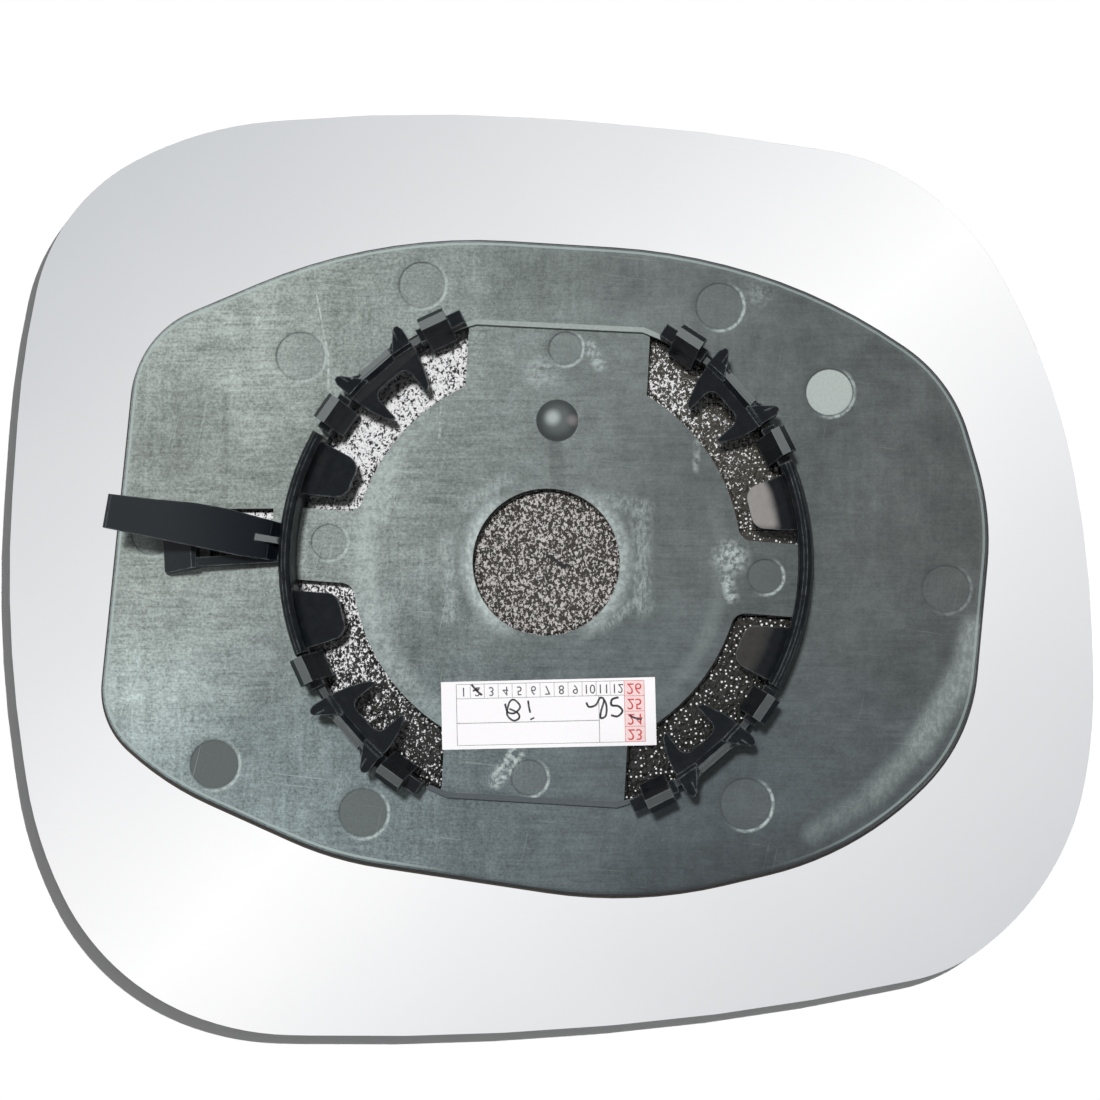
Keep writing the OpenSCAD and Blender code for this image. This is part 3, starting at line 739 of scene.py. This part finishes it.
plate = dress("backing_plate", plate_material())
soften(plate, 0.12)
glass = dress("mirror_glass", mirror_material())
soften(glass, 0.25)
pebbles = film_material()
film = dress("adhesive_film", pebbles)
label = dress("date_label", label_material())
skins = [pebbled_skin("film_in_centre_hole", in_hole, (-12.0, -12.0, 12.3, 12.3), pebbles)]
for side, box in (("upper_right", (5, 5, 41, 41)), ("upper_left", (-41, 5, -5, 41)),
                  ("lower_left", (-41, -41, -5, -5)), ("lower_right", (5, -41, 41, -5))):
    skins.append(pebbled_skin("film_in_window_" + side, in_window, box, pebbles))
skins.append(pebbled_skin("film_in_slot", in_slot, (SLOT[0], SLOT[1], SLOT[2] + 0.1, SLOT[3] + 0.1), pebbles))
label_print()


# Stage: floor, lights and camera
def stage():
    floor = mesh_object("floor", [(-2500, -2500, 0), (2500, -2500, 0), (2500, 2500, 0), (-2500, 2500, 0)],
                        [(0, 1, 2, 3)], floor_material())
    floor.location.z = -0.02 * MM
    return floor


def aim(made, place, target):
    turn = (target - place).to_track_quat("-Z", "Y")
    made.matrix_world = Matrix.Translation(place) @ turn.to_matrix().to_4x4()


def lamp(name, kind, place, target, energy, size=None):
    data = bpy.data.lights.new(name, kind)
    data.energy = energy
    made = bpy.data.objects.new(name, data)
    bpy.context.scene.collection.objects.link(made)
    aim(made, Vector(place), Vector(target))
    if kind == "AREA":
        data.shape = "DISK"
        data.size = size
    return made


def receive(light, name, members, state):
    group = bpy.data.collections.new(name)
    for member in members:
        group.objects.link(member)
    for entry in group.collection_objects:
        entry.light_linking.link_state = state
    light.light_linking.receiver_collection = group


# A card above the camera that only reflections see: a white band across its middle, greyer to both sides
def card():
    s = Shader("reflected_card")
    p = s.place()
    across = s.vector("DOT_PRODUCT", p, (-0.674, 0.739, 0))
    away = s.math("ABSOLUTE", s.math("SUBTRACT", across, 54.0))
    level = s.ramp(s.math("MULTIPLY", away, 1 / 276), [(0.0, (1.24, 1.22, 1.20)), (0.45, (0.98, 0.97, 0.975)),
                                                       (1.0, (0.74, 0.75, 0.765))])
    emission = s.add("ShaderNodeEmission", {"Color": level, "Strength": 1.0})
    made = mesh_object("card", [(-700, -700, 800), (700, -700, 800), (700, 700, 800), (-700, 700, 800)],
                       [(0, 3, 2, 1)], s.finish(emission.outputs[0]))
    made.visible_camera = False
    made.visible_diffuse = False
    made.visible_shadow = False
    made.visible_transmission = False


def world():
    made = bpy.data.worlds.new("studio")
    bpy.context.scene.world = made
    made.use_nodes = True
    tree = made.node_tree
    tree.nodes.clear()
    path = tree.nodes.new("ShaderNodeLightPath")
    seen = tree.nodes.new("ShaderNodeMath")
    seen.operation = "MAXIMUM"
    tree.links.new(path.outputs["Is Camera Ray"], seen.inputs[0])
    tree.links.new(path.outputs["Is Glossy Ray"], seen.inputs[1])
    also = tree.nodes.new("ShaderNodeMath")
    also.operation = "MAXIMUM"
    tree.links.new(seen.outputs[0], also.inputs[0])
    tree.links.new(path.outputs["Is Transmission Ray"], also.inputs[1])
    strength = tree.nodes.new("ShaderNodeMapRange")
    strength.inputs[3].default_value = 0.035
    strength.inputs[4].default_value = 1.0
    tree.links.new(also.outputs[0], strength.inputs[0])
    back = tree.nodes.new("ShaderNodeBackground")
    back.inputs[0].default_value = (1, 1, 1, 1)
    tree.links.new(strength.outputs[0], back.inputs[1])
    out = tree.nodes.new("ShaderNodeOutputWorld")
    tree.links.new(back.outputs[0], out.inputs[0])


def lights(floor):
    sun = lamp("sun", "SUN", (1.87, 1.57, 2.0), (0, 0, 0), 4.5)
    sun.data.angle = math.radians(1.5)
    receive(sun, "sun_falls_on", [floor], "INCLUDE")
    key = lamp("key_light", "SUN", (-0.16, 0.46, 1.94), (0, 0, 0), 2.75)
    key.data.angle = math.radians(7)
    key.visible_glossy = False
    side = lamp("softbox_right", "AREA", (0.85, -0.75, 0.7), (0, 0, 0), 2.4, 0.4)
    fill = lamp("fill_light", "SUN", (0, 0, 2), (0, 0, 0), 0.3)
    fill.data.angle = math.radians(150)
    fill.visible_glossy = False
    receive(key, "key_light_falls_on", [floor], "EXCLUDE")
    for light in (side, fill):
        receive(light, light.name + "_falls_on", [floor, film, *skins], "EXCLUDE")
    below = lamp("floor_light", "SUN", (0, 0, 2), (0, 0, 0), 0.56)
    below.data.angle = math.radians(150)
    below.visible_glossy = False
    receive(below, "floor_light_falls_on", [floor], "INCLUDE")


def camera():
    data = bpy.data.cameras.new("camera")
    data.type = "PERSP"
    data.lens = CAMERA_LENS
    data.sensor_width = 36
    data.clip_start, data.clip_end = 0.01, 20
    made = bpy.data.objects.new("camera", data)
    bpy.context.scene.collection.objects.link(made)
    forward = (CAMERA_AIM - CAMERA_AT).normalized()
    right = forward.cross(Vector((0, 1, 0))).normalized()
    upward = right.cross(forward)
    place = CAMERA_AT * MM
    made.matrix_world = Matrix((
        (right.x, upward.x, -forward.x, place.x),
        (right.y, upward.y, -forward.y, place.y),
        (right.z, upward.z, -forward.z, place.z),
        (0, 0, 0, 1)))
    bpy.context.scene.camera = made


floor = stage()
card()
world()
lights(floor)
camera()
bpy.context.scene.view_settings.view_transform = "Standard"
